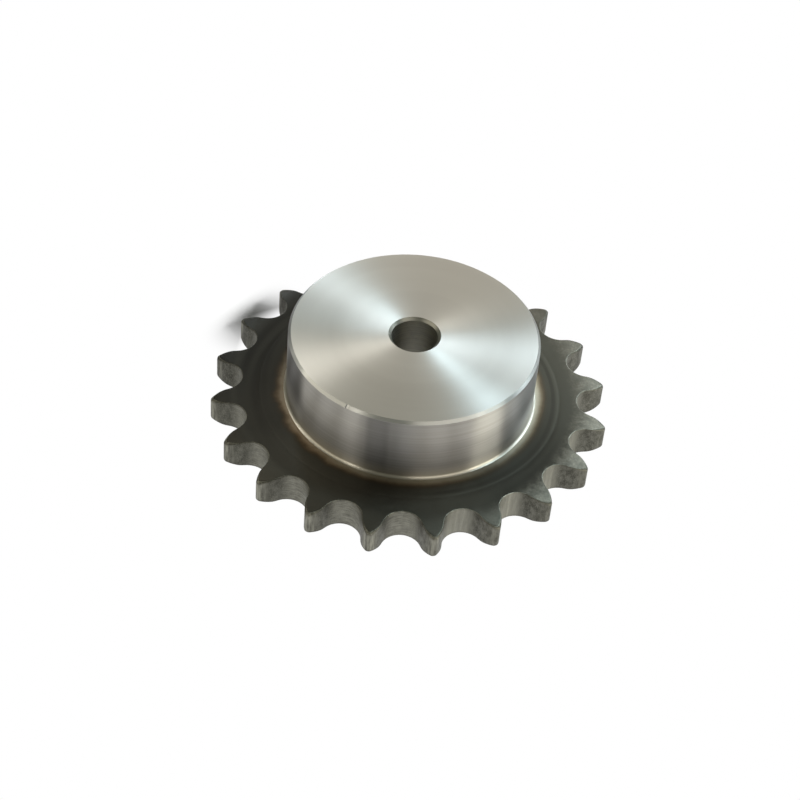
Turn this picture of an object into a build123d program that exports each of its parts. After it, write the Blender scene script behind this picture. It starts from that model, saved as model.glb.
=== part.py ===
"""Roller chain sprocket with a hub on one side, turned and cut from one piece of steel.

The bore axis is Z. The plate's back face lies on z = 0 and the hub stands up from the plate.
The origin is the middle of the back face, and one tooth points along +X.
"""
import os
from math import acos, atan2, cos, pi, radians, sin, sqrt

from build123d import *

# The roller chain that the teeth carry, in millimetres
CHAIN_PITCH = 19.05
ROLLER_DIAMETER = 12.07

# The tooth plate
TOOTH_COUNT = 20
PLATE_THICKNESS = 10.8

# The form of a tooth gap, seen along the bore axis
SEAT_CLEARANCE = 0.2        # the seat arc's radius, less the roller's
SEAT_ANGLE = 142.0          # degrees of seat arc, between the two flanks
FLANK_RADIUS = 11.0         # the convex arc from the seat to the crest
CREST_RADIUS = 1.2          # the rounding from the flank onto the tip circle
TIP_HEIGHT = 3.75           # from the pitch circle out to the tip circle
CUTTER_OVERRUN = 4.0        # how far the gap cutter runs out past the metal

# The relief of the teeth's sides, which guides the chain's plates on
RELIEF_DEPTH = 1.25         # taken off each side at the tip circle
RELIEF_RADIUS = 40.0

# The hub
HUB_DIAMETER = 80.5
OVERALL_LENGTH = 34.8       # from the plate's back face to the hub's face
HUB_CHAMFER = 0.85
HUB_ROOT_RADIUS = 0.8       # the tool's radius, left in the corner with the plate

# The pilot bore
BORE_DIAMETER = 15.0
BORE_CHAMFER = 0.9

# Sizes that follow from the ones above
pitch_radius = CHAIN_PITCH / 2 / sin(pi / TOOTH_COUNT)
seat_radius = ROLLER_DIAMETER / 2 + SEAT_CLEARANCE
tip_radius = pitch_radius + TIP_HEIGHT
relief_start = tip_radius - sqrt(2 * RELIEF_RADIUS * RELIEF_DEPTH - RELIEF_DEPTH**2)
hub_radius = HUB_DIAMETER / 2
bore_radius = BORE_DIAMETER / 2


def turned_blank():
    """The sprocket before its teeth are cut: half of its section, turned about the bore axis."""
    bore_mouth = bore_radius + BORE_CHAMFER
    plate_corner = (hub_radius + HUB_ROOT_RADIUS, PLATE_THICKNESS)
    hub_corner = (hub_radius, PLATE_THICKNESS + HUB_ROOT_RADIUS)
    back_tip = (tip_radius, RELIEF_DEPTH)
    front_tip = (tip_radius, PLATE_THICKNESS - RELIEF_DEPTH)

    with BuildPart() as blank:
        with BuildSketch(Plane.XZ):
            with BuildLine():
                Line((bore_mouth, 0), (relief_start, 0))
                TangentArc((relief_start, 0), back_tip, tangent=(1, 0))
                Line(back_tip, front_tip)
                TangentArc((relief_start, PLATE_THICKNESS), front_tip, tangent=(1, 0))
                Line((relief_start, PLATE_THICKNESS), plate_corner)
                TangentArc(plate_corner, hub_corner, tangent=(-1, 0))
                Polyline(
                    hub_corner,
                    (hub_radius, OVERALL_LENGTH - HUB_CHAMFER),
                    (hub_radius - HUB_CHAMFER, OVERALL_LENGTH),
                    (bore_mouth, OVERALL_LENGTH),
                    (bore_radius, OVERALL_LENGTH - BORE_CHAMFER),
                    (bore_radius, BORE_CHAMFER),
                    (bore_mouth, 0),
                )
            make_face()
        revolve(axis=Axis.Z)
    return blank.part


def tooth_gap():
    """One tooth gap's outline on +X: a roller seat between two flanks, open past the crests."""
    seat_end = radians(SEAT_ANGLE / 2)
    to_flank = seat_radius + FLANK_RADIUS
    flank_centre = Vector(pitch_radius - to_flank * cos(seat_end), to_flank * sin(seat_end))

    # The crest arc touches the flank arc and the tip circle from inside
    reach, crest_reach = flank_centre.length, tip_radius - CREST_RADIUS
    apart = FLANK_RADIUS - CREST_RADIUS
    turn = acos((reach**2 + crest_reach**2 - apart**2) / (2 * reach * crest_reach))
    crest_bearing = atan2(flank_centre.Y, flank_centre.X) - turn
    outward = Vector(cos(crest_bearing), sin(crest_bearing))
    crest_centre = outward * crest_reach
    flank_end = flank_centre + (crest_centre - flank_centre).normalized() * FLANK_RADIUS
    mouth = outward * (tip_radius + CUTTER_OVERRUN)

    with BuildSketch() as gap:
        with BuildLine():
            seat = CenterArc((pitch_radius, 0), seat_radius, 180, -SEAT_ANGLE / 2)
            flank = TangentArc(seat @ 1, flank_end, tangent=seat % 1)
            TangentArc(flank @ 1, outward * tip_radius, tangent=flank % 1)
            Polyline(outward * tip_radius, mouth, (mouth.X, 0))
            mirror(about=Plane.XZ)
        make_face()
    return gap.sketch


def sprocket():
    """The finished sprocket: the turned blank with its tooth gaps cut through the plate."""
    half_tooth_pitch = 180 / TOOTH_COUNT
    with BuildPart() as part:
        add(turned_blank())
        with BuildSketch(Plane.XY.offset(-CUTTER_OVERRUN)):
            with PolarLocations(0, TOOTH_COUNT, start_angle=half_tooth_pitch):
                add(tooth_gap())
        extrude(amount=PLATE_THICKNESS + 2 * CUTTER_OVERRUN, mode=Mode.SUBTRACT)
    return part.part


os.makedirs("parts", exist_ok=True)
export_step(sprocket(), "parts/sprocket.step")
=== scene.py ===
"""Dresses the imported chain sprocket: its toothed body, its steel finishes and its photo stage.

Lengths are in metres and angles in radians, unless a name says otherwise. The bore axis is Z,
the plate's back face lies on z = 0 and one tooth points along +X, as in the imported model.
"""
from math import acos, atan2, cos, pi, radians, sin, sqrt

import bpy
from mathutils import Matrix, Vector


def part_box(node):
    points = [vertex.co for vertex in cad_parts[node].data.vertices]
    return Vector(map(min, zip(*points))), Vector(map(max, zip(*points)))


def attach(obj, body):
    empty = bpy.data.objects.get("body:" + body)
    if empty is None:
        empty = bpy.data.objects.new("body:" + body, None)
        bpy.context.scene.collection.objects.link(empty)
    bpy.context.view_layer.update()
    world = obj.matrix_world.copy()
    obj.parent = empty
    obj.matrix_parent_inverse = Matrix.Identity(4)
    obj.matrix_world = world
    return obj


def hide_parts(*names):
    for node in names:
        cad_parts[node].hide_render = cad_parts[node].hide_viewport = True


bl_info = {
    "name": "Chain sprocket",
    "version": (1, 0, 0),
    "blender": (4, 5, 0),
    "location": "3D View > Sidebar > Sprocket",
    "description": "Builds a roller chain sprocket with its steel finishes and its photo stage",
    "category": "Add Mesh",
}

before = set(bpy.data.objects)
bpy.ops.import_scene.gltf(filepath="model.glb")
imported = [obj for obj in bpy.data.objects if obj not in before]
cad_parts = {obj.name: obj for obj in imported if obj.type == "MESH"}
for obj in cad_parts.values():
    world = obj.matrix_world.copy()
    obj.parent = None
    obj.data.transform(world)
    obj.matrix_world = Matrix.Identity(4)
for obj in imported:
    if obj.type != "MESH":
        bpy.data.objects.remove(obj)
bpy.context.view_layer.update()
cad_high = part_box("sprocket")[1]

MM = 0.001


def length_property(name, description, default):
    """A length for a property group, in metres."""
    return bpy.props.FloatProperty(
        name=name, description=description, default=default, unit="LENGTH", subtype="DISTANCE")


def angle_property(name, description, default):
    """An angle for a property group, in radians."""
    return bpy.props.FloatProperty(
        name=name, description=description, default=default, unit="ROTATION", subtype="ANGLE")


class SprocketSizes(bpy.types.PropertyGroup):
    """The sprocket's sizes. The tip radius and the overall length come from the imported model."""

    tooth_count: bpy.props.IntProperty(
        name="Teeth", description="Number of teeth", default=20, min=9)
    chain_pitch: length_property("Chain pitch", "Distance between two rollers", 19.05 * MM)
    roller_diameter: length_property("Roller", "Diameter of the chain's rollers", 12.07 * MM)
    seat_clearance: length_property("Seat clearance", "Seat radius less roller radius", 0.2 * MM)
    seat_angle: angle_property(
        "Seat angle", "Arc of the roller seat between its flanks", radians(142))
    flank_radius: length_property("Flank radius", "Convex arc from the seat to the crest", 11 * MM)
    tip_radius: length_property("Tip radius", "Radius of the tip circle", cad_high.x)
    crest_radius: length_property(
        "Crest radius", "Rounding from the flank onto the tip circle", 1.2 * MM)
    edge_round: length_property(
        "Edge rounding", "Rounding along the teeth's edges, at the seats", 0.22 * MM)
    crest_edge_round: length_property(
        "Crest edge rounding", "Rounding along the teeth's edges, at the tips", 0.8 * MM)
    plate_thickness: length_property("Plate", "Thickness of the tooth plate", 10.8 * MM)
    relief_depth: length_property(
        "Relief depth", "Taken off each side of the teeth at the tip", 1.25 * MM)
    relief_radius: length_property("Relief radius", "Arc of the relief, across the plate", 40 * MM)
    hub_diameter: length_property("Hub", "Diameter of the hub", 80.5 * MM)
    overall_length: length_property(
        "Length", "From the plate's back face to the hub's face", cad_high.z)
    hub_chamfer: length_property("Hub chamfer", "Chamfer round the hub's face", 0.85 * MM)
    hub_root_radius: length_property(
        "Hub root", "Tool radius in the corner of hub and plate", 0.8 * MM)
    groove_radius: length_property(
        "Groove radius", "Where the shallow turned groove runs on the plate", 49 * MM)
    groove_width: length_property("Groove width", "Width of the shallow turned groove", 1.6 * MM)
    groove_depth: length_property("Groove depth", "Depth of the shallow turned groove", 0.025 * MM)
    nick_bearing: angle_property(
        "Nick bearing", "Where the hub's front edge has a small nick", radians(231.5))
    nick_width: length_property("Nick width", "Width of the nick along the hub's edge", 0.9 * MM)
    nick_depth: length_property("Nick depth", "Depth of the nick into the hub's edge", 0.2 * MM)
    bore_diameter: length_property("Bore", "Diameter of the pilot bore", 15 * MM)
    bore_chamfer: length_property("Bore chamfer", "Chamfer at both mouths of the bore", 0.9 * MM)


class SprocketStudio(bpy.types.PropertyGroup):
    """Where the camera stands, how the lamps are set and where the floor keeps its shadow."""

    camera_distance: length_property("Distance", "From the origin's plane to the camera", 0.66806)
    camera_height_angle: angle_property(
        "Height angle", "Camera's elevation above the floor", radians(43.818))
    camera_turn: angle_property(
        "Turn", "Camera's bearing about the bore, from +X", radians(-100.353))
    camera_roll: angle_property("Roll", "Camera's tilt about its own axis", radians(5.153))
    camera_slide: length_property(
        "Slide", "How far the camera stands left of the origin", 2.475 * MM)
    camera_rise: length_property("Rise", "How far the camera stands above the origin", 4.155 * MM)
    focal_length: bpy.props.FloatProperty(
        name="Focal length", description="Lens, in millimetres for a 36 mm frame",
        default=91.24)
    lamp_strength: bpy.props.FloatProperty(
        name="Lamps", description="Strength of all lamps together", default=1.0)
    lamp_distance: length_property("Lamp distance", "From the hub's face to each lamp", 0.6)
    surroundings: bpy.props.FloatVectorProperty(
        name="Surroundings", description="Colour of the light from all round",
        default=(0.245, 0.245, 0.20), subtype="COLOR")
    shadow_bearing: angle_property(
        "Shadow bearing", "Where the floor keeps the shadow, from the right", radians(144))
    shadow_reach: length_property(
        "Shadow reach", "From the bore to the middle of the kept shadow", 69 * MM)
    shadow_spread: length_property(
        "Shadow spread", "How far round that middle the shadow is kept", 23 * MM)
    floor_gap: length_property(
        "Floor gap", "How far the floor lies below the plate's back face", 0.05 * MM)
    floor_reach: length_property("Floor", "From the origin to the floor's edges", 4.0)


# Points along the arcs of half a tooth's outline
SEAT_POINTS, FLANK_POINTS, CREST_POINTS = 11, 9, 6

# Rows of points round the body's section
BACK_ROWS, BACK_TOOTH_ROWS, FRONT_TOOTH_ROWS = 5, 10, 14
GROOVE_ROWS, ROOT_ROWS, HUB_FACE_ROWS = 7, 6, 5

# Rows on the flat of the plate's front face, between the groove and the hub's root
FLAT_RADII = (0.0455, 0.0432)

# How far the last rows of the plate's faces reach out to the rounded edges, at share 1
BACK_REACH, FRONT_REACH = 0.9, 0.95

# Where the rows across a tooth lie, as shares of its width, closer together at its edges
ACROSS_TOOTH = (0.08, 0.25, 0.5, 0.75, 0.92)

# How far apart the rows are that keep the shading's bend at the top of the hub's wall
WALL_EDGE_STEP = 0.6 * MM

# Angles round the teeth's rounded edges, from the plate's face, and how worn the edge is there,
# which on the teeth also sets their painted shade
EDGE_WEAR = ((0, 0.3), (pi / 6, 0.8), (pi / 3, 1.0), (pi / 2, 0.4))

# Points of neighbouring sectors that are nearer than this become one
WELD_DISTANCE = 0.0005 * MM

# Edges that turn by more than this are shaded as sharp
SHARP_ANGLE = radians(32)

# Finish zones of the body, in the order of their materials
HUB_FACE, HUB_SIDE, PLATE, TEETH, BORE = range(5)
FINISH_NAMES = ("Hub face", "Hub side", "Plate", "Tooth flanks", "Bore")


def between(start, end, count):
    """Evenly spaced values from start to end, both included."""
    return [start + (end - start) * i / (count - 1) for i in range(count)]


def arc(centre, radius, start, end, count):
    """Points on an arc in the plane, from one angle to another."""
    return [centre + radius * Vector((cos(a), sin(a))) for a in between(start, end, count)]


def half_tooth(sizes):
    """The outline from a gap's bottom up the flank to the crest's middle, which is on +X."""
    half_pitch = pi / sizes.tooth_count
    pitch_radius = sizes.chain_pitch / 2 / sin(half_pitch)
    seat_radius = sizes.roller_diameter / 2 + sizes.seat_clearance
    seat_end = sizes.seat_angle / 2
    seat_centre = Vector((pitch_radius, 0))
    to_flank = Vector((-cos(seat_end), -sin(seat_end)))
    flank_centre = seat_centre + (seat_radius + sizes.flank_radius) * to_flank

    reach, crest_reach = flank_centre.length, sizes.tip_radius - sizes.crest_radius
    apart = sizes.flank_radius - sizes.crest_radius
    past = acos((reach**2 + crest_reach**2 - apart**2) / (2 * reach * crest_reach))
    crest_bearing = atan2(flank_centre.y, flank_centre.x) + past
    crest_centre = crest_reach * Vector((cos(crest_bearing), sin(crest_bearing)))
    to_crest = crest_centre - flank_centre
    join = atan2(to_crest.y, to_crest.x)

    seat = arc(seat_centre, seat_radius, pi, pi + seat_end, SEAT_POINTS)
    side = arc(flank_centre, sizes.flank_radius, seat_end, join, FLANK_POINTS)[1:]
    crest = arc(crest_centre, sizes.crest_radius, join, crest_bearing, CREST_POINTS)[1:]
    middle = sizes.tip_radius * Vector((cos(half_pitch), -sin(half_pitch)))
    turn = Matrix.Rotation(half_pitch, 2)
    return [turn @ point for point in seat + side + crest + [middle]]


def tooth_outline(sizes):
    """One tooth from gap bottom to gap bottom, with the way into the metal at each point."""
    upper = half_tooth(sizes)
    lower = [Vector((p.x, -p.y)) for p in upper]
    outline = lower + upper[-2::-1]
    half_pitch = pi / sizes.tooth_count
    inward = []
    for i in range(len(outline)):
        before = outline[max(i - 1, 0)]
        after = outline[min(i + 1, len(outline) - 1)]
        along = (after - before).normalized()
        inward.append(Vector((-along.y, along.x)))
    for end, bearing in ((0, -half_pitch), (-1, half_pitch)):
        inward[end] = -Vector((cos(bearing), sin(bearing)))
    return outline, inward


def relief(radius, sizes):
    """How far the plate's faces draw back at a radius."""
    depth, arc_radius = sizes.relief_depth, sizes.relief_radius
    start = sizes.tip_radius - sqrt(2 * arc_radius * depth - depth**2)
    past = max(radius - start, 0)
    return arc_radius - sqrt(arc_radius**2 - past**2)


class SectorRows:
    """Makes rows of points across one tooth's sector, from one gap's middle to the next."""

    def __init__(self, sizes):
        self.sizes = sizes
        self.outline, self.inward = tooth_outline(sizes)
        self.bearings = [atan2(p.y, p.x) for p in self.outline]
        pitch_radius = sizes.chain_pitch / 2 / sin(pi / sizes.tooth_count)
        growth = (sizes.crest_edge_round - sizes.edge_round) / (sizes.tip_radius - pitch_radius)
        self.rounding = [
            sizes.edge_round + growth * max(p.length - pitch_radius, 0) for p in self.outline
        ]
        # Outside this radius the rows of the plate's faces take on the outline's form
        self.round_radius = sizes.groove_radius + sizes.groove_width

    def ring(self, radius, height):
        """A round row."""
        return [Vector((radius * cos(b), radius * sin(b), height)) for b in self.bearings]

    def on_side(self, place, drawn, side):
        """A place on the front side, 1, or the back, -1, drawn back from the plate's face."""
        height = self.sizes.plate_thickness - drawn if side > 0 else drawn
        return Vector((place.x, place.y, height))

    def face_row(self, share, side):
        """A row between a face's round part, at share 0, and its rounded edge, at share 1."""
        row = []
        for i, bearing in enumerate(self.bearings):
            start = self.round_radius * Vector((cos(bearing), sin(bearing)))
            edge = self.outline[i] + self.inward[i] * self.rounding[i]
            place = start.lerp(edge, share)
            row.append(self.on_side(place, relief(place.length, self.sizes), side))
        return row

    def edge_row(self, angle, side):
        """A row on a face's rounded edge, from the face, at angle 0, to the side of the tooth."""
        row = []
        for point, way, size in zip(self.outline, self.inward, self.rounding):
            place = point + way * size * (1 - sin(angle))
            drawn = relief(place.length, self.sizes) + size * (1 - cos(angle))
            row.append(self.on_side(place, drawn, side))
        return row

    def width_row(self, share):
        """A row across the tooth's width, from the back edge, at share 0, to the front edge."""
        edges = zip(self.edge_row(pi / 2, -1), self.edge_row(pi / 2, 1))
        return [back.lerp(front, share) for back, front in edges]


def body_rows(sizes):
    """The rows of points of one tooth's sector, round its closed section.

    With each row go the finish of the faces between it and the row after it, and how much its
    points are worn as an edge.
    """
    sector = SectorRows(sizes)
    ring, face_row, edge_row = sector.ring, sector.face_row, sector.edge_row
    thickness, length = sizes.plate_thickness, sizes.overall_length
    hub_radius, root = sizes.hub_diameter / 2, sizes.hub_root_radius
    bore_radius = sizes.bore_diameter / 2
    bore_mouth = bore_radius + sizes.bore_chamfer

    # The back face, the back edge and the sides of the teeth, then their front edge
    rows = [(ring(r, 0), PLATE, 0) for r in between(bore_mouth, hub_radius, BACK_ROWS)]
    rows += [(face_row(s, -1), PLATE, 0) for s in between(0, BACK_REACH, BACK_TOOTH_ROWS)]
    rows += [(edge_row(angle, -1), TEETH, wear) for angle, wear in EDGE_WEAR]
    rows += [(sector.width_row(s), TEETH, 0) for s in ACROSS_TOOTH]
    rows += [(edge_row(angle, 1), TEETH, wear) for angle, wear in EDGE_WEAR[:0:-1]]
    rows += [(edge_row(0, 1), PLATE, EDGE_WEAR[0][1])]

    # The front face, from the teeth in over the groove to the hub's root
    rows += [(face_row(s, 1), PLATE, 0) for s in between(FRONT_REACH, 0, FRONT_TOOTH_ROWS)]
    for share in between(1, 0, GROOVE_ROWS)[1:]:
        radius = sizes.groove_radius + sizes.groove_width * (share - 0.5)
        sunk = sizes.groove_depth * sin(pi * share) ** 2
        rows.append((ring(radius, thickness - sunk), PLATE, 0))
    rows += [(ring(r, thickness), PLATE, 0) for r in FLAT_RADII]
    for angle in between(0, pi / 2, ROOT_ROWS):
        radius = hub_radius + root * (1 - sin(angle))
        height = thickness + root * (1 - cos(angle))
        rows.append((ring(radius, height), HUB_SIDE, 0))

    # The hub's wall, its chamfered face and the bore
    top = length - sizes.hub_chamfer
    wall_heights = (0.6 * top, top - 2 * WALL_EDGE_STEP, top - WALL_EDGE_STEP, top)
    rows += [(ring(hub_radius, height), HUB_SIDE, 0) for height in wall_heights]
    face_radii = between(hub_radius - sizes.hub_chamfer, bore_mouth, HUB_FACE_ROWS)[:-1]
    rows += [(ring(r, length), HUB_FACE, 0) for r in face_radii]
    rows += [
        (ring(bore_mouth, length), BORE, 0),
        (ring(bore_radius, length - sizes.bore_chamfer), BORE, 0),
        (ring(bore_radius, length / 2), BORE, 0),
        (ring(bore_radius, sizes.bore_chamfer), BORE, 0),
    ]
    return rows


def sector_mesh(sizes):
    """One tooth's sector of the whole body as an open mesh, with its finishes and edge wear."""
    rows = body_rows(sizes)
    columns = len(rows[0][0])
    points = [point for row, _, _ in rows for point in row]
    wear = [float(worn) for _, _, worn in rows for _ in range(columns)]
    faces, finishes = [], []
    for r, (_, finish, _) in enumerate(rows):
        above = (r + 1) % len(rows)
        for c in range(columns - 1):
            faces.append((
                r * columns + c, r * columns + c + 1,
                above * columns + c + 1, above * columns + c,
            ))
            finishes.append(finish)
    mesh = bpy.data.meshes.new("tooth_sector")
    mesh.from_pydata(points, [], faces)
    mesh.attributes.new("finish", "INT", "FACE").data.foreach_set("value", finishes)
    mesh.attributes.new("edge_wear", "FLOAT", "POINT").data.foreach_set("value", wear)
    mesh.update()
    return mesh


def press_nick(mesh, sizes):
    """Press a small nick into the hub's chamfered edge: only the chamfer's points move."""
    hub_radius = sizes.hub_diameter / 2
    lowest = sizes.overall_length - 1.2 * sizes.hub_chamfer
    innermost = hub_radius - 1.5 * sizes.hub_chamfer
    middle = Vector((cos(sizes.nick_bearing), sin(sizes.nick_bearing)))
    for vertex in mesh.vertices:
        radius = vertex.co.xy.length
        if vertex.co.z < lowest or radius < innermost:
            continue
        off = middle.angle(vertex.co.xy)
        share = max(1 - (2 * off * hub_radius / sizes.nick_width) ** 2, 0)
        kept = 1 - share * sizes.nick_depth / radius
        vertex.co.x *= kept
        vertex.co.y *= kept


class NodeBuilder:
    """Adds nodes to one node tree, with their settings and what feeds them."""

    def __init__(self, tree):
        self.tree = tree

    def add(self, kind, feeds=None, **settings):
        """A new node with its settings, and a value or a socket for each input in feeds."""
        node = self.tree.nodes.new(kind)
        for name, value in settings.items():
            setattr(node, name, value)
        for key, value in (feeds or {}).items():
            self.feed(node.inputs[key], value)
        return node

    def feed(self, socket, value):
        """Link a socket to an input, or set a plain value on it."""
        if isinstance(value, bpy.types.NodeSocket):
            self.tree.links.new(value, socket)
        else:
            socket.default_value = value

    def math(self, operation, *values, clamp=False):
        """The result of a math node."""
        feeds = dict(enumerate(values))
        return self.add("ShaderNodeMath", feeds, operation=operation, use_clamp=clamp).outputs[0]

    def blend(self, mask, first, second):
        """The first colour where the mask is 0, and the second where it is 1."""
        node = self.add("ShaderNodeMix", {"Factor": mask}, data_type="RGBA")
        self.feed(node.inputs[6], first)
        self.feed(node.inputs[7], second)
        return node.outputs[2]

    def scale(self, colour, factor):
        """A colour made lighter or darker by a factor."""
        node = self.add("ShaderNodeVectorMath", {0: colour, "Scale": factor}, operation="SCALE")
        return node.outputs[0]

    def fade(self, value, start, end, low=0.0, high=1.0):
        """A smooth step of a value from start to end, given as low to high."""
        node = self.add(
            "ShaderNodeMapRange",
            {"Value": value, "From Min": start, "From Max": end, "To Min": low, "To Max": high},
            interpolation_type="SMOOTHSTEP",
        )
        return node.outputs[0]


def sector_repeat_tree():
    """The node tree that sets a sector round the bore once for each tooth and closes the body."""
    tree = bpy.data.node_groups.new("repeat_tooth_sector", "GeometryNodeTree")
    face = tree.interface
    face.new_socket("Sector", in_out="INPUT", socket_type="NodeSocketGeometry")
    face.new_socket("Tooth count", in_out="INPUT", socket_type="NodeSocketInt")
    face.new_socket("Weld distance", in_out="INPUT", socket_type="NodeSocketFloat")
    for name in FINISH_NAMES:
        face.new_socket(name, in_out="INPUT", socket_type="NodeSocketMaterial")
    face.new_socket("Body", in_out="OUTPUT", socket_type="NodeSocketGeometry")
    nodes = NodeBuilder(tree)
    given = nodes.add("NodeGroupInput").outputs
    circle = nodes.add("GeometryNodePoints", {"Count": given["Tooth count"]})
    index = nodes.add("GeometryNodeInputIndex").outputs[0]
    turn = nodes.math("MULTIPLY", index, nodes.math("DIVIDE", 2 * pi, given["Tooth count"]))
    rotation = nodes.add("ShaderNodeCombineXYZ", {"Z": turn})
    copies = nodes.add("GeometryNodeInstanceOnPoints", {
        "Points": circle.outputs[0], "Instance": given["Sector"], "Rotation": rotation.outputs[0]})
    real = nodes.add("GeometryNodeRealizeInstances", {"Geometry": copies.outputs[0]})
    weld = nodes.add("GeometryNodeMergeByDistance", {
        "Geometry": real.outputs[0], "Distance": given["Weld distance"]})
    body = weld.outputs[0]
    finish = nodes.add("GeometryNodeInputNamedAttribute", {"Name": "finish"}, data_type="INT")
    for number, name in enumerate(FINISH_NAMES):
        chosen = nodes.add("FunctionNodeCompare", data_type="INT", operation="EQUAL")
        nodes.feed(chosen.inputs[2], finish.outputs[0])
        nodes.feed(chosen.inputs[3], number)
        painted = nodes.add("GeometryNodeSetMaterial", {
            "Geometry": body, "Selection": chosen.outputs[0], "Material": given[name]})
        body = painted.outputs[0]
    nodes.add("NodeGroupOutput", {"Body": body})
    return tree


def steel_material(name, anisotropy=0.0):
    """A metal material, its builder and its shader, whose colour and roughness are still to feed.

    With anisotropy, its reflections are drawn out across the rings of a turned surface.
    """
    material = bpy.data.materials.new(name)
    material.use_nodes = True
    shader = material.node_tree.nodes["Principled BSDF"]
    shader.inputs["Metallic"].default_value = 1
    nodes = NodeBuilder(material.node_tree)
    if anisotropy:
        shader.inputs["Anisotropic"].default_value = anisotropy
        shader.inputs["Anisotropic Rotation"].default_value = 0.25
        tangent = nodes.add("ShaderNodeTangent", direction_type="RADIAL", axis="Z")
        nodes.feed(shader.inputs["Tangent"], tangent.outputs[0])
    return material, nodes, shader


def shader_group(name, inputs, outputs):
    """A new shader node group with named inputs and outputs, and the builder for its nodes."""
    tree = bpy.data.node_groups.new(name, "ShaderNodeTree")
    for label, value in inputs:
        socket = tree.interface.new_socket(label, in_out="INPUT", socket_type="NodeSocketFloat")
        socket.default_value = value
    for label, kind in outputs:
        tree.interface.new_socket(label, in_out="OUTPUT", socket_type=kind)
    nodes = NodeBuilder(tree)
    return nodes, nodes.add("NodeGroupInput").outputs


# The middle range of a noise, where nearly all of its values lie
NOISE_RANGE = (0.3, 0.7)


def radius_from_bore(nodes, place):
    """The distance of a place from the bore axis, in metres."""
    flat = nodes.add("ShaderNodeVectorMath", {0: place, 1: (1, 1, 0)}, operation="MULTIPLY")
    length = nodes.add("ShaderNodeVectorMath", {0: flat.outputs[0]}, operation="LENGTH")
    return length.outputs["Value"]


def ring_mask(nodes, radius, rise, fall):
    """1 on a ring round the bore: it rises over one pair of radii and falls over the other."""
    return nodes.math("MULTIPLY", nodes.fade(radius, *rise), nodes.fade(radius, *fall))


def facing(nodes, place, bearing, start, end):
    """A smooth step, from start to end, of the cosine between a place's bearing and a set one."""
    towards = nodes.add("ShaderNodeCombineXYZ", {
        "X": nodes.math("COSINE", bearing), "Y": nodes.math("SINE", bearing)})
    along = nodes.add("ShaderNodeVectorMath", {0: place, 1: towards.outputs[0]},
                      operation="DOT_PRODUCT").outputs["Value"]
    return nodes.fade(nodes.math("DIVIDE", along, radius_from_bore(nodes, place)), start, end)


def place_and_height(nodes):
    """A point's place in the part's own frame, and its height above the plate's back face."""
    place = nodes.add("ShaderNodeTexCoord").outputs["Object"]
    return place, nodes.add("ShaderNodeSeparateXYZ", {0: place}).outputs["Z"]


def chamfer_mask(nodes, height):
    """1 on the chamfers next to the hub's face, and 0 below them."""
    return nodes.fade(height, cad_high.z - 1.0 * MM, cad_high.z - 0.8 * MM)


def add_bump(nodes, shader, height, strength, distance):
    """Small relief on a shader's normal, from a mask."""
    bump = nodes.add("ShaderNodeBump", {
        "Height": height, "Strength": strength, "Distance": distance})
    nodes.feed(shader.inputs["Normal"], bump.outputs[0])


def turning_marks_group():
    """Fine rings left by the turning tool, round the bore axis, on faces and on round walls."""
    nodes, given = shader_group(
        "turning_marks",
        [("Spacing", 0.3 * MM), ("Drift", 14.0)],
        [("Marks", "NodeSocketFloat"), ("Bands", "NodeSocketFloat"),
         ("Radius", "NodeSocketFloat")])
    place = nodes.add("ShaderNodeTexCoord").outputs["Object"]
    radius = radius_from_bore(nodes, place)
    axes = nodes.add("ShaderNodeSeparateXYZ", {0: place}).outputs
    across = nodes.math("DIVIDE", nodes.math("ADD", radius, axes["Z"]), given["Spacing"])
    drift_x = nodes.math("MULTIPLY", axes["X"], given["Drift"])
    drift_y = nodes.math("MULTIPLY", axes["Y"], given["Drift"])

    def rings(density, detail):
        """Noise in rings, which slowly changes round the bore."""
        where = nodes.add("ShaderNodeCombineXYZ", {
            "X": nodes.math("MULTIPLY", across, density), "Y": drift_x, "Z": drift_y})
        noise = nodes.add("ShaderNodeTexNoise", {
            "Vector": where.outputs[0], "Scale": 1.0, "Detail": detail, "Roughness": 0.6})
        return noise.outputs[0]

    nodes.add("NodeGroupOutput", {
        "Marks": rings(density=1.0, detail=2.0), "Bands": rings(density=0.12, detail=1.0),
        "Radius": radius})
    return nodes.tree


def mottle_group():
    """Uneven patches and finer specks in the steel's skin."""
    nodes, given = shader_group(
        "skin_mottle",
        [("Size", 4 * MM), ("Stretch along bore", 1.0)],
        [("Patches", "NodeSocketFloat"), ("Specks", "NodeSocketFloat")])
    place = nodes.add("ShaderNodeTexCoord").outputs["Object"]
    squeeze = nodes.math("DIVIDE", 1.0, given["Stretch along bore"])
    along = nodes.add("ShaderNodeCombineXYZ", {"X": 1.0, "Y": 1.0, "Z": squeeze})
    scaled = nodes.add("ShaderNodeVectorMath", {0: place, 1: along.outputs[0]},
                       operation="MULTIPLY").outputs[0]
    patch_scale = nodes.math("DIVIDE", 1.0, given["Size"])
    speck_scale = nodes.math("MULTIPLY", patch_scale, 5.0)
    patches = nodes.add("ShaderNodeTexNoise", {
        "Vector": scaled, "Scale": patch_scale, "Detail": 4.0, "Roughness": 0.6})
    specks = nodes.add("ShaderNodeTexNoise", {
        "Vector": scaled, "Scale": speck_scale, "Detail": 2.0, "Roughness": 0.6})
    nodes.add("NodeGroupOutput", {
        "Patches": nodes.fade(patches.outputs[0], *NOISE_RANGE),
        "Specks": nodes.fade(specks.outputs[0], 0.35, 0.7)})
    return nodes.tree


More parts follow.
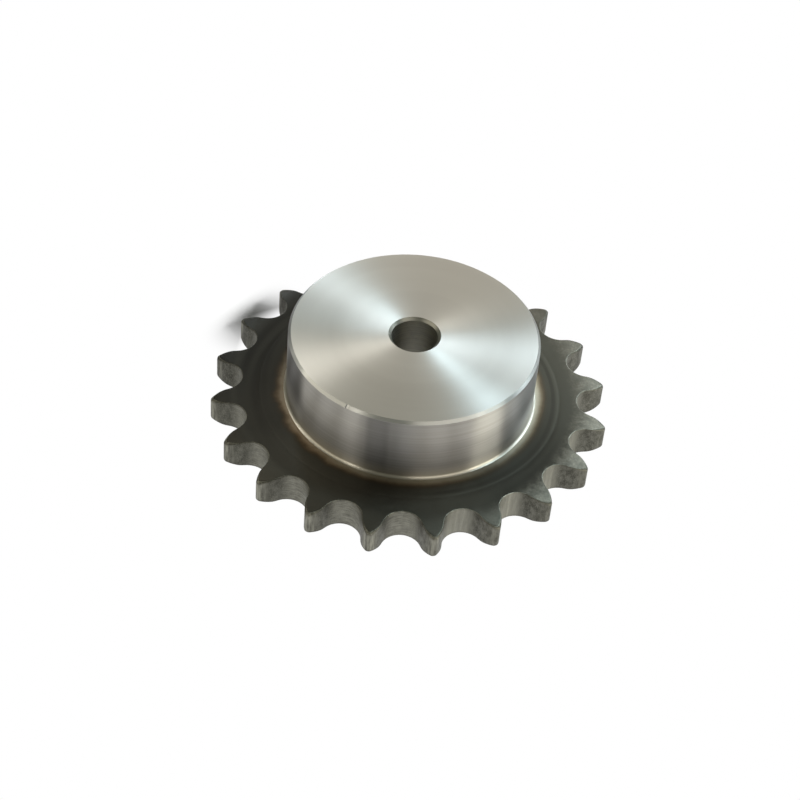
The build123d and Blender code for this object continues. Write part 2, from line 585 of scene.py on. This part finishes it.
def edge_wear_and_shade_group():
    """Where handling has worn the teeth's edges, broken up by noise; the teeth's finish also
    paints shade along it.
    """
    nodes, given = shader_group(
        "edge_wear", [("Evenness", 0.5)], [("Mask", "NodeSocketFloat")])
    worn = nodes.add("ShaderNodeAttribute", attribute_name="edge_wear").outputs["Fac"]
    place = nodes.add("ShaderNodeTexCoord").outputs["Object"]
    noise = nodes.add("ShaderNodeTexNoise", {"Vector": place, "Scale": 900.0, "Detail": 3.0})
    broken = nodes.fade(noise.outputs[0], nodes.math("SUBTRACT", 0.6, given["Evenness"]), 0.65)
    nodes.add("NodeGroupOutput", {"Mask": nodes.math("MULTIPLY", worn, broken)})
    return nodes.tree


# The heat colours from the hub outwards, as shares of the band's width
HEAT_COLOURS = (
    (0.0, (0.330, 0.305, 0.245, 1)),
    (0.22, (0.310, 0.275, 0.214, 1)),
    (0.45, (0.180, 0.148, 0.103, 1)),
    (0.62, (0.098, 0.076, 0.052, 1)),
    (0.78, (0.060, 0.050, 0.037, 1)),
    (1.0, (0.052, 0.049, 0.040, 1)),
)


def heat_tint_group():
    """The heat colours round the hub: straw, tan and brown, then dark oxide outside, painted
    lighter and darker round the part as light falls.
    """
    nodes, given = shader_group(
        "heat_tint",
        [("Start radius", 41 * MM), ("Width", 4.2 * MM), ("Waviness", 1.2 * MM),
         ("Painted light front side", radians(246)), ("Painted light right side", radians(20)),
         ("Painted shade side", radians(135)), ("Blotched side", radians(192)),
         ("Scuffs and light side", radians(350))],
        [("Color", "NodeSocketColor"), ("Heat", "NodeSocketFloat"),
         ("Scuffs and light", "NodeSocketFloat"), ("Painted shade", "NodeSocketFloat")])
    place = nodes.add("ShaderNodeTexCoord").outputs["Object"]
    radius = radius_from_bore(nodes, place)

    # The band's share at a place, with a wavy edge that swings most on the blotched side
    blotched = facing(nodes, place, given["Blotched side"], 0.6, 1.0)
    wave = nodes.add("ShaderNodeTexNoise", {"Vector": place, "Scale": 170.0, "Detail": 3.0})
    swing = nodes.math("MULTIPLY", given["Waviness"],
                       nodes.math("MULTIPLY_ADD", blotched, 2.8, 1.2))
    shift = nodes.math("MULTIPLY", nodes.math("SUBTRACT", wave.outputs[0], 0.5), swing)
    past = nodes.math("SUBTRACT", nodes.math("ADD", radius, shift), given["Start radius"])
    share = nodes.math("DIVIDE", past, given["Width"], clamp=True)

    ramp = nodes.add("ShaderNodeValToRGB", {"Fac": share})
    stops = ramp.color_ramp.elements
    stops[0].color, stops[1].color = HEAT_COLOURS[0][1], HEAT_COLOURS[-1][1]
    for position, colour in HEAT_COLOURS[1:-1]:
        stops.new(position).color = colour
    brown = nodes.math("MULTIPLY", blotched, nodes.fade(share, 0.95, 0.45, 0.0, 0.6))
    warm = nodes.blend(brown, (1, 1, 1, 1), (1.0, 0.80, 0.64, 1))
    tinted = nodes.add("ShaderNodeVectorMath", {0: ramp.outputs[0], 1: warm},
                       operation="MULTIPLY").outputs[0]

    # Painted light and shade round the part: lighter in front and on the right, darker at the back
    # left
    painted_light_front = facing(nodes, place, given["Painted light front side"], 0.6, 0.95)
    rubbed_and_lit = facing(nodes, place, given["Painted light right side"], 0.4, 1.2)
    painted_shade_back_left = facing(nodes, place, given["Painted shade side"], 0.5, 1.0)
    light = nodes.math("MULTIPLY_ADD", painted_light_front, 0.68, nodes.math("MULTIPLY_ADD", rubbed_and_lit, 0.9, 0.5))
    light = nodes.math("MULTIPLY_ADD", painted_shade_back_left, -0.24, light)
    # The scuffed side, on the right, also carries painted light in the plate and the teeth
    nodes.add("NodeGroupOutput", {
        "Color": nodes.scale(tinted, light), "Heat": nodes.math("SUBTRACT", 1.0, share),
        "Scuffs and light": facing(nodes, place, given["Scuffs and light side"], -0.3, 1.2), "Painted shade": painted_shade_back_left})
    return nodes.tree


def with_group(nodes, group, **values):
    """A group placed in a material, with its own values; spaces in names are underscores."""
    node = nodes.add("ShaderNodeGroup", node_tree=group)
    for name, value in values.items():
        nodes.feed(node.inputs[name.replace("_", " ")], value)
    return node.outputs


def hub_face_finish(groups):
    """The hub's faced end, whose round tool marks draw reflections out into rays."""
    material, nodes, shader = steel_material("turned_hub_face", anisotropy=0.80)
    turned = with_group(nodes, groups["marks"], Spacing=0.6 * MM)
    marks = nodes.fade(turned["Marks"], *NOISE_RANGE, -0.004, 0.004)
    near_bore, outside = 0.36, 0.281
    roughness = nodes.fade(turned["Radius"], 7 * MM, 30 * MM, near_bore, outside)
    nodes.feed(shader.inputs["Roughness"], nodes.math("ADD", roughness, marks))
    bands = nodes.fade(turned["Bands"], *NOISE_RANGE)
    nodes.feed(shader.inputs["Base Color"], nodes.blend(
        bands, (0.64, 0.637, 0.625, 1), (0.66, 0.658, 0.645, 1)))
    return material


def hub_side_finish(groups):
    """The hub's wall, with its root on the plate and the chamfer round its face, with painted
    shade, painted highlights and a painted dark reflection.
    """
    material, nodes, shader = steel_material("turned_hub_side", anisotropy=0.95)
    turned = with_group(nodes, groups["marks"], Spacing=0.5 * MM)
    place, height = place_and_height(nodes)

    # Painted shade: in front the wall darkens towards its foot, and at both ends towards its top;
    # a narrow dark stripe in front is a painted reflection
    right_end = facing(nodes, place, radians(345), 0.84, 0.966)
    left_end = facing(nodes, place, radians(190), 0.96, 0.992)
    at_ends = nodes.math("MAXIMUM", left_end, right_end)
    painted_dark_reflection = facing(nodes, place, radians(247), 0.9936, 0.9990)
    front = nodes.fade(height, 14 * MM, 30 * MM, 0.72, 1.2)
    front = nodes.math("MULTIPLY", front, nodes.math("MULTIPLY_ADD", painted_dark_reflection, -0.32, 1.0))
    ends = nodes.fade(height, 13 * MM, 24 * MM, 1.3, 0.45)
    light = nodes.math("MULTIPLY_ADD", at_ends, nodes.math("SUBTRACT", ends, front), front)
    wall = nodes.blend(nodes.fade(turned["Marks"], 0.25, 0.75),
                       (0.272, 0.264, 0.249, 1), (0.310, 0.301, 0.286, 1))
    wall = nodes.scale(wall, light)

    # The foot was warmed by the heat, and the root below it is painted lighter, a painted
    # highlight along its rounding
    warmed = nodes.fade(height, 11.4 * MM, 16.5 * MM, 0.75, 0.0)
    wall = nodes.blend(warmed, wall, (0.235, 0.221, 0.192, 1))
    root_painted_highlight = nodes.fade(height, 11.9 * MM, 11.3 * MM)
    wall = nodes.blend(root_painted_highlight, wall, (0.40, 0.38, 0.335, 1))

    # Painted light on the chamfer: painted shade at the right end, painted highlights at two
    # bearings in front and painted shade at the left end
    chamfer = nodes.blend(right_end, (0.42, 0.42, 0.41, 1), (0.29, 0.29, 0.28, 1))
    painted_highlight_left = facing(nodes, place, radians(196), 0.978, 0.995)
    painted_highlight_middle = facing(nodes, place, radians(252), 0.978, 0.992)
    left_painted_shade = facing(nodes, place, radians(160), 0.90, 0.98)
    chamfer_painted_light = nodes.math("MULTIPLY_ADD", painted_highlight_left, 0.36, 1.0)
    chamfer_painted_light = nodes.math("MULTIPLY_ADD", painted_highlight_middle, 0.25, chamfer_painted_light)
    chamfer_painted_light = nodes.math("MULTIPLY_ADD", left_painted_shade, -0.5, chamfer_painted_light)
    chamfer = nodes.scale(chamfer, chamfer_painted_light)

    on_chamfer = chamfer_mask(nodes, height)
    nodes.feed(shader.inputs["Base Color"], nodes.blend(on_chamfer, wall, chamfer))
    roughness = nodes.fade(turned["Bands"], *NOISE_RANGE, 0.36, 0.40)
    nodes.feed(shader.inputs["Roughness"], nodes.math(
        "MULTIPLY_ADD", on_chamfer, -0.06, roughness))
    add_bump(nodes, shader, turned["Marks"], strength=0.08, distance=0.01 * MM)
    return material


def plate_finish(groups):
    """The plate's faces: heat colours round the hub, dark oxide and scuffs towards the teeth, with
    painted light and shade by side and at the groove.
    """
    material, nodes, shader = steel_material("heat_darkened_plate")
    turned = with_group(nodes, groups["marks"], Spacing=0.6 * MM)
    mottle = with_group(nodes, groups["mottle"], Size=3.5 * MM)
    tint = with_group(nodes, groups["tint"])
    worn = with_group(nodes, groups["wear"], Evenness=0.25)
    radius, scuffed_and_lit_side = turned["Radius"], tint["Scuffs and light"]

    # Painted shade and a painted highlight: a dark and a light ring inside the turned groove,
    # shown on the scuffed and lit side
    shows = nodes.fade(scuffed_and_lit_side, 0.0, 0.4)
    groove_painted_shade = ring_mask(nodes, radius, (45.9 * MM, 46.7 * MM), (47.9 * MM, 47.2 * MM))
    skin = nodes.blend(nodes.math("MULTIPLY", groove_painted_shade, nodes.math("MULTIPLY", shows, 0.4)),
                       tint["Color"], (0.024, 0.022, 0.018, 1))
    groove_painted_highlight = ring_mask(nodes, radius, (47.8 * MM, 48.3 * MM), (48.9 * MM, 48.4 * MM))
    skin = nodes.blend(nodes.math("MULTIPLY", groove_painted_highlight, nodes.math("MULTIPLY", shows, 0.1)),
                       skin, (0.11, 0.107, 0.09, 1))
    # Outside the groove the plate is darker, except on the scuffed and lit side
    outer_light = nodes.fade(scuffed_and_lit_side, 0.0, 0.8, 0.72, 1.0)
    skin = nodes.scale(skin, nodes.fade(radius, 47 * MM, 55 * MM, 1.0, outer_light))

    # Scuffs near the teeth, partly painted light: they are lighter and reach further in on the
    # scuffed and lit side
    scuff_and_light_colour = nodes.blend(mottle["Specks"], (0.100, 0.090, 0.073, 1), (0.142, 0.129, 0.105, 1))
    reach = nodes.math("MULTIPLY_ADD", scuffed_and_lit_side, 8 * MM, radius)
    scuff_and_light_mask = nodes.math("MULTIPLY", nodes.fade(reach, 58.5 * MM, 65.5 * MM),
                         nodes.fade(mottle["Patches"], 0.1, 0.9, 0.4, 1.0))
    scuff_and_light_mask = nodes.math("MULTIPLY", scuff_and_light_mask, nodes.fade(scuffed_and_lit_side, 0.3, 1.0, 0.1, 0.9))
    skin = nodes.blend(scuff_and_light_mask, skin, scuff_and_light_colour)

    tool_lines = nodes.fade(turned["Bands"], 0.35, 0.65, 0.0, 0.12)
    skin = nodes.blend(tool_lines, skin, (0.075, 0.073, 0.058, 1))
    rubbed_and_lit = nodes.math("MULTIPLY", worn["Mask"], 0.12)
    nodes.feed(shader.inputs["Base Color"], nodes.blend(rubbed_and_lit, skin, (0.15, 0.146, 0.122, 1)))
    roughness = nodes.fade(mottle["Patches"], 0.0, 1.0, 0.41, 0.46)
    nodes.feed(shader.inputs["Roughness"], nodes.math(
        "MULTIPLY_ADD", tint["Heat"], -0.06, roughness))
    add_bump(nodes, shader, turned["Marks"], strength=0.15, distance=0.01 * MM)
    return material


def teeth_finish(groups):
    """The cut edges of the teeth: roller seats painted lighter than the darker flanks, streaked
    painted highlights on the tips, and painted shade at the back left and along the rims.
    """
    material, nodes, shader = steel_material("cut_tooth_edges")
    mottle = with_group(nodes, groups["mottle"], Size=1.6 * MM, Stretch_along_bore=1.6)
    streaks = with_group(nodes, groups["mottle"], Size=1.1 * MM, Stretch_along_bore=9.0)
    arcs = with_group(nodes, groups["mottle"], Size=2.8 * MM, Stretch_along_bore=0.12)
    turned = with_group(nodes, groups["marks"])
    worn = with_group(nodes, groups["wear"], Evenness=0.5)
    tint = with_group(nodes, groups["tint"])
    scuffed_and_lit_side = nodes.fade(tint["Scuffs and light"], 0.0, 0.5)

    # Painted light: the seats are lighter than the flanks, and lighter still on the scuffed and
    # lit side
    seat = nodes.blend(arcs["Patches"], (0.115, 0.113, 0.095, 1), (0.240, 0.237, 0.200, 1))
    painted_light_seat = nodes.blend(
        streaks["Patches"], (0.215, 0.212, 0.180, 1), (0.335, 0.331, 0.281, 1))
    painted_light_seat = nodes.blend(
        nodes.math("MULTIPLY", mottle["Specks"], 0.5), painted_light_seat, (0.190, 0.187, 0.159, 1))
    seat = nodes.blend(scuffed_and_lit_side, seat, painted_light_seat)

    even_flank = nodes.blend(
        mottle["Patches"], (0.075, 0.074, 0.061, 1), (0.110, 0.108, 0.090, 1))
    blotched_flank = nodes.blend(
        mottle["Patches"], (0.060, 0.059, 0.049, 1), (0.130, 0.128, 0.108, 1))
    flank = nodes.blend(scuffed_and_lit_side, even_flank, blotched_flank)

    # The seat turns into the flank along an uneven line, and the back left is painted darker as
    # shade
    uneven = nodes.math("MULTIPLY_ADD", mottle["Patches"], 0.6 * MM, turned["Radius"])
    uneven = nodes.math("MULTIPLY_ADD", scuffed_and_lit_side, 1 * MM, uneven)
    past_seat = nodes.fade(uneven, 55.6 * MM, 59 * MM)
    teeth_painted_shade = nodes.fade(tint["Painted shade"], 0.0, 1.0, 1.0, 0.6)
    skin = nodes.scale(nodes.blend(past_seat, seat, flank), teeth_painted_shade)

    # Painted highlights streak the tips, weaker on the scuffed and lit side, with light specks all
    # over
    at_tip = nodes.fade(turned["Radius"], 61.5 * MM, 64 * MM)
    streaked = nodes.math("MULTIPLY", streaks["Patches"],
                          nodes.math("MULTIPLY_ADD", scuffed_and_lit_side, -0.5, 1.0))
    painted_glint_and_specks = nodes.math("MAXIMUM", nodes.math("MULTIPLY", at_tip, streaked),
                       nodes.math("MULTIPLY", mottle["Specks"], 0.25))
    skin = nodes.blend(painted_glint_and_specks, skin, (0.30, 0.296, 0.250, 1))

    # Painted shade along the rounded edges, darkest away from the scuffed and lit side
    painted_shade_rim = nodes.blend(scuffed_and_lit_side, (0.025, 0.024, 0.020, 1), (0.09, 0.088, 0.074, 1))
    nodes.feed(shader.inputs["Base Color"], nodes.blend(
        nodes.math("MULTIPLY", worn["Mask"], 0.8), skin, painted_shade_rim))
    nodes.feed(shader.inputs["Roughness"], nodes.fade(mottle["Patches"], 0.0, 1.0, 0.58, 0.48))
    add_bump(nodes, shader, mottle["Specks"], strength=0.3, distance=0.05 * MM)
    return material


def bore_finish(groups):
    """The drilled bore: a stained wall with round tool marks, and a darker chamfered mouth."""
    material, nodes, shader = steel_material("drilled_bore", anisotropy=0.4)
    turned = with_group(nodes, groups["marks"], Spacing=0.5 * MM)
    mottle = with_group(nodes, groups["mottle"], Size=2.5 * MM)
    _, height = place_and_height(nodes)
    marks = nodes.fade(turned["Marks"], *NOISE_RANGE)
    wall = nodes.blend(marks, (0.25, 0.245, 0.222, 1), (0.375, 0.368, 0.335, 1))
    stained = nodes.math("MULTIPLY", mottle["Patches"], 0.4)
    wall = nodes.blend(stained, wall, (0.43, 0.41, 0.33, 1))
    chamfer = nodes.blend(marks, (0.19, 0.186, 0.165, 1), (0.29, 0.285, 0.255, 1))
    nodes.feed(shader.inputs["Base Color"], nodes.blend(
        chamfer_mask(nodes, height), wall, chamfer))
    nodes.feed(shader.inputs["Roughness"], nodes.fade(
        turned["Bands"], *NOISE_RANGE, 0.34, 0.44))
    return material


class SPROCKET_OT_body(bpy.types.Operator):
    """Build the sprocket's one steel body and put its finishes on it"""

    bl_idname = "sprocket.body"
    bl_label = "Sprocket body"

    def execute(self, context):
        sizes = context.scene.sprocket_sizes
        body = bpy.data.objects.new("sprocket_body", sector_mesh(sizes))
        context.scene.collection.objects.link(body)
        groups = {
            "marks": turning_marks_group(), "mottle": mottle_group(),
            "wear": edge_wear_and_shade_group(), "tint": heat_tint_group(),
        }
        finishes = [
            hub_face_finish(groups), hub_side_finish(groups), plate_finish(groups),
            teeth_finish(groups), bore_finish(groups),
        ]
        tree = sector_repeat_tree()
        modifier = body.modifiers.new("Teeth", "NODES")
        modifier.node_group = tree
        values = {"Tooth count": sizes.tooth_count, "Weld distance": WELD_DISTANCE}
        values.update(zip(FINISH_NAMES, finishes))
        for item in tree.interface.items_tree:
            if item.name in values:
                modifier[item.identifier] = values[item.name]
        graph = context.evaluated_depsgraph_get()
        whole = bpy.data.meshes.new_from_object(body.evaluated_get(graph))
        body.modifiers.remove(modifier)
        sector = body.data
        body.data = whole
        bpy.data.meshes.remove(sector)
        whole.name = "sprocket_body"
        press_nick(whole, sizes)
        whole.polygons.foreach_set("use_smooth", [True] * len(whole.polygons))
        whole.set_sharp_from_angle(angle=SHARP_ANGLE)
        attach(body, "root")
        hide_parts("sprocket")
        return {"FINISHED"}


def place_camera(scene, studio):
    """The camera, at the photograph's viewing angle."""
    data = bpy.data.cameras.new("photo_camera")
    data.lens = studio.focal_length
    camera = bpy.data.objects.new("photo_camera", data)
    scene.collection.objects.link(camera)
    height, turn, roll = studio.camera_height_angle, studio.camera_turn, studio.camera_roll
    back = Vector((cos(height) * cos(turn), cos(height) * sin(turn), sin(height)))
    level_right = Vector((-sin(turn), cos(turn), 0))
    level_up = back.cross(level_right)
    right = cos(roll) * level_right + sin(roll) * level_up
    up = -sin(roll) * level_right + cos(roll) * level_up
    place = studio.camera_distance * back - studio.camera_slide * right + studio.camera_rise * up
    camera.matrix_world = Matrix((
        (right.x, up.x, back.x, place.x),
        (right.y, up.y, back.y, place.y),
        (right.z, up.z, back.z, place.z),
        (0, 0, 0, 1),
    ))
    scene.camera = camera


def soft_lamp(scene, studio, name, lit, bearing, height, width, depth, radiance):
    """A flat soft lamp that looks at the hub and lights only the objects of one collection.

    The bearing is counted from the camera's right hand side. Width and depth are the lamp's sides,
    across and up the sky, and the radiance is what a mirror would show of it.
    """
    brightest = max(radiance)
    data = bpy.data.lights.new(name, "AREA")
    data.shape = "RECTANGLE"
    data.size, data.size_y = width, depth
    data.energy = studio.lamp_strength * brightest * pi * width * depth
    data.color = [value / brightest for value in radiance]
    lamp = bpy.data.objects.new(name, data)
    scene.collection.objects.link(lamp)
    bearing += studio.camera_turn + pi / 2
    way = Vector((cos(height) * cos(bearing), cos(height) * sin(bearing), sin(height)))
    lamp.location = Vector((0, 0, cad_high.z)) + studio.lamp_distance * way
    lamp.rotation_euler = way.to_track_quat("Z", "Y").to_euler()
    lamp.light_linking.receiver_collection = lit


def floor_finish(studio):
    """White paper, seen from above only, that keeps the shadow at the back left of the part."""
    material = bpy.data.materials.new("white_floor")
    material.use_nodes = True
    shader = material.node_tree.nodes["Principled BSDF"]
    shader.inputs["Base Color"].default_value = (0.50, 0.51, 0.58, 1)
    shader.inputs["Roughness"].default_value = 0.9
    shader.inputs["Specular IOR Level"].default_value = 0
    nodes = NodeBuilder(material.node_tree)
    bearing = studio.camera_turn + pi / 2 + studio.shadow_bearing
    middle = studio.shadow_reach * Vector((cos(bearing), sin(bearing), 0))
    place = nodes.add("ShaderNodeTexCoord").outputs["Object"]
    off = nodes.add("ShaderNodeVectorMath", {0: place, 1: middle}, operation="DISTANCE")
    faded = nodes.fade(off.outputs["Value"], 0.0, studio.shadow_spread)
    start, end = cad_high.x - 2.5 * MM, cad_high.x + 5.5 * MM
    under_part = nodes.fade(radius_from_bore(nodes, place), start, end, 1.0, 0.0)
    faded = nodes.math("MAXIMUM", faded, under_part)
    path = nodes.add("ShaderNodeLightPath").outputs
    seen = nodes.math("ADD", path["Is Camera Ray"], path["Is Glossy Ray"])
    seen = nodes.math("ADD", seen, path["Is Transmission Ray"], clamp=True)
    white = nodes.add("ShaderNodeEmission", {"Color": (1, 1, 1, 1), "Strength": 1.0})
    mix = nodes.add("ShaderNodeMixShader", {
        0: nodes.math("MULTIPLY", seen, faded), 1: shader.outputs[0], 2: white.outputs[0]})
    below = nodes.add("ShaderNodeMixShader", {
        0: nodes.add("ShaderNodeNewGeometry").outputs["Backfacing"], 1: mix.outputs[0],
        2: nodes.add("ShaderNodeBsdfTransparent").outputs[0]})
    nodes.feed(material.node_tree.nodes["Material Output"].inputs["Surface"], below.outputs[0])
    return material


class SPROCKET_OT_stage(bpy.types.Operator):
    """Set up the white floor, the lamps, the surroundings and the camera"""

    bl_idname = "sprocket.stage"
    bl_label = "Photo stage"

    def execute(self, context):
        scene, studio = context.scene, context.scene.sprocket_studio
        scene.view_settings.view_transform = "Standard"
        place_camera(scene, studio)

        mesh = bpy.data.meshes.new("floor")
        reach, level = studio.floor_reach, -studio.floor_gap
        corners = ((-1, -1), (1, -1), (1, 1), (-1, 1))
        mesh.from_pydata([(x * reach, y * reach, level) for x, y in corners], [], [(0, 1, 2, 3)])
        mesh.materials.append(floor_finish(studio))
        floor = bpy.data.objects.new("floor", mesh)
        scene.collection.objects.link(floor)

        world = bpy.data.worlds.new("studio")
        scene.world = world
        world.use_nodes = True
        surroundings = world.node_tree.nodes["Background"]
        surroundings.inputs["Color"].default_value = (*studio.surroundings, 1)
        surroundings.inputs["Strength"].default_value = 1

        # The body and the floor have lamps of their own
        on_body = bpy.data.collections.new("lit_body")
        on_body.objects.link(bpy.data.objects["sprocket_body"])
        on_floor = bpy.data.collections.new("lit_floor")
        on_floor.objects.link(floor)
        soft_lamp(scene, studio, "cool_key", on_body, bearing=radians(37), height=radians(59),
                  width=0.21, depth=0.063, radiance=(22.4, 28.6, 31.2))
        soft_lamp(scene, studio, "window", on_body, bearing=radians(41), height=radians(35),
                  width=0.45, depth=0.17, radiance=(9.0, 10.4, 11.0))
        soft_lamp(scene, studio, "warm_front", on_body, bearing=radians(-55), height=radians(18),
                  width=0.61, depth=0.56, radiance=(1.9, 1.8, 1.6))
        soft_lamp(scene, studio, "front_strip", on_body, bearing=radians(-24),
                  height=radians(-1.6), width=0.26, depth=0.034, radiance=(55, 54, 47))
        soft_lamp(scene, studio, "left_side", on_body, bearing=radians(-156), height=radians(19),
                  width=0.70, depth=0.56, radiance=(1.25, 1.17, 0.97))
        soft_lamp(scene, studio, "left_strip", on_body, bearing=radians(-131), height=radians(14),
                  width=0.09, depth=0.45, radiance=(2.1, 2.04, 1.9))
        soft_lamp(scene, studio, "warm_back", on_body, bearing=radians(134), height=radians(49),
                  width=0.36, depth=0.11, radiance=(4.6, 4.4, 3.95))
        soft_lamp(scene, studio, "small_back", on_body, bearing=radians(108), height=radians(19),
                  width=0.063, depth=0.063, radiance=(26.0, 30.0, 32.0))
        soft_lamp(scene, studio, "backdrop", on_body, bearing=radians(92), height=radians(19),
                  width=0.37, depth=0.29, radiance=(1.25, 1.1, 0.95))
        soft_lamp(scene, studio, "floor_light", on_floor, bearing=radians(-36), height=radians(47),
                  width=0.42, depth=0.06, radiance=(163, 160, 141))
        return {"FINISHED"}


class SPROCKET_PT_panel(bpy.types.Panel):
    """Lists what builds the sprocket"""

    bl_idname = "SPROCKET_PT_panel"
    bl_label = "Chain sprocket"
    bl_space_type = "VIEW_3D"
    bl_region_type = "UI"
    bl_category = "Sprocket"

    def draw(self, context):
        for operator in OPERATORS:
            self.layout.operator(operator.bl_idname)


OPERATORS = (SPROCKET_OT_body, SPROCKET_OT_stage)
CLASSES = (SprocketSizes, SprocketStudio, *OPERATORS, SPROCKET_PT_panel)


def register():
    """Register the classes, and keep the settings on the scene."""
    for cls in CLASSES:
        bpy.utils.register_class(cls)
    bpy.types.Scene.sprocket_sizes = bpy.props.PointerProperty(type=SprocketSizes)
    bpy.types.Scene.sprocket_studio = bpy.props.PointerProperty(type=SprocketStudio)


def unregister():
    """Take the settings and the classes away again."""
    del bpy.types.Scene.sprocket_studio
    del bpy.types.Scene.sprocket_sizes
    for cls in reversed(CLASSES):
        bpy.utils.unregister_class(cls)


def main():
    """Build the sprocket and its stage."""
    register()
    bpy.ops.sprocket.body()
    bpy.ops.sprocket.stage()


if __name__ == "__main__":
    main()
